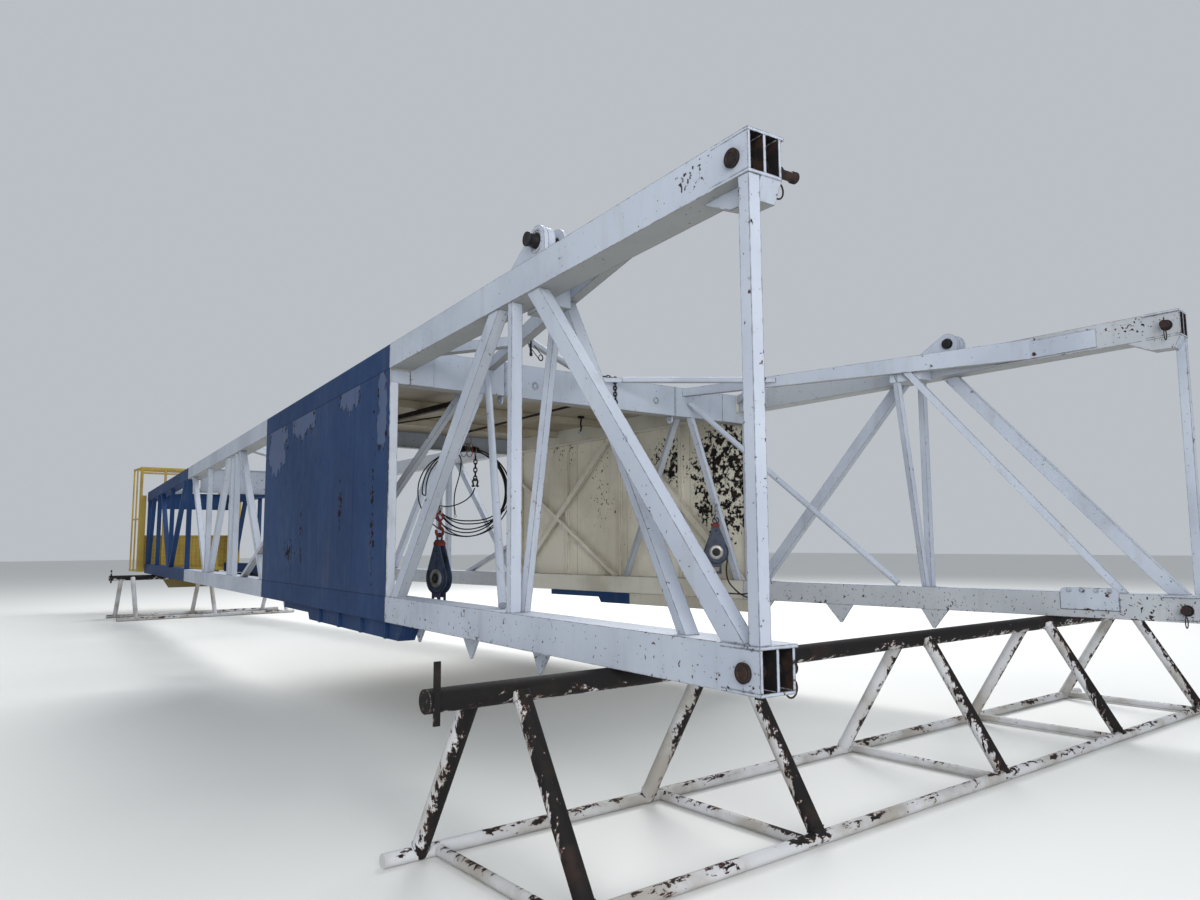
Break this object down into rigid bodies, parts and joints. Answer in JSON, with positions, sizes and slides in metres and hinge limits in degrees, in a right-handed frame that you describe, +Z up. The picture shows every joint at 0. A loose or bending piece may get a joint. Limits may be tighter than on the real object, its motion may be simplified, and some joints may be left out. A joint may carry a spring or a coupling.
{
  "type": "drilling rig mast laid on pipe trestles",
  "caption": "Tapering lattice mast of a drilling rig, open on one side, lying on two pipe trestles, with a plated bay, raising lugs, foot clevises and a crown platform.",
  "frame": {"origin": "on the ground, at the middle of the whole part in plan", "axes": "+Y along the mast from its foot pins to its crown, +Z up from the ground, +X to the right seen from the foot"},
  "size_m": [9.9, 26.8187, 4.5086],
  "materials": {
    "white_paint": "satin white paint, chipped and rust stained",
    "blue_paint": "satin navy paint, chalky and chipped",
    "wall_paint": "navy paint outside, peeling cream paint inside",
    "cream_paint": "matt cream paint, peeling",
    "yellow_paint": "worn yellow paint",
    "rusty_steel": "heavily rusted pipe with remains of paint",
    "black_steel": "greasy black steel",
    "worn_white_pipe": "white paint with heavy rust",
    "red_paint": "worn red paint"
  },
  "bodies": {
    "root": {"left_lower_white_chords": "white_paint", "right_lower_white_chords": "white_paint", "left_plated_bay_chords": "blue_paint", "right_plated_bay_chords": "blue_paint", "left_upper_white_chords": "white_paint", "right_upper_white_chords": "white_paint", "left_crown_bay_chords": "blue_paint", "right_crown_bay_chords": "blue_paint", "leg_clevis_cheeks": "white_paint", "leg_clevis_caps": "white_paint", "foot_pins": "rusty_steel", "wedge_doublers": "white_paint", "near_end_posts": "white_paint", "left_outer_braces": "white_paint", "right_outer_braces": "white_paint", "inner_braces": "white_paint", "left_wall_plate": "wall_paint", "right_wall_plate": "wall_paint", "left_wall_lattice": "cream_paint", "right_wall_lattice": "cream_paint", "roof_plate": "cream_paint", "roof_ribs": "cream_paint", "portal_girder": "white_paint", "girder_box_ends": "white_paint", "girder_pad_eyes": "white_paint", "knee_beams": "white_paint", "lug_brackets": "white_paint", "knee_diagonals": "white_paint", "raising_lugs": "white_paint", "lug_pins": "black_steel", "spreader_tubes": "white_paint", "girder_struts": "white_paint", "rope_coil": "black_steel", "rope_hanger": "white_paint", "snatch_blocks": "black_steel", "block_rings": "black_steel", "block_hook": "red_paint", "block_line": "black_steel", "left_upper_white_lattice": "white_paint", "right_upper_white_lattice": "white_paint", "left_crown_bay_lattice": "blue_paint", "right_crown_bay_lattice": "blue_paint", "plated_end_girder": "white_paint", "splice_girder": "white_paint", "crown_end_girder": "blue_paint", "back_bracing": "white_paint", "ribbed_boxes": "blue_paint", "chord_gussets": "white_paint", "crown_frame": "yellow_paint", "crown_floor": "yellow_paint", "crown_railing": "yellow_paint", "crown_apron": "yellow_paint", "near_trestle_pipe": "rusty_steel", "near_trestle_legs": "worn_white_pipe", "near_trestle_skids": "worn_white_pipe", "far_trestle_pipe": "rusty_steel", "far_trestle_legs": "worn_white_pipe", "far_trestle_skids": "worn_white_pipe"}
  },
  "joints": []
}
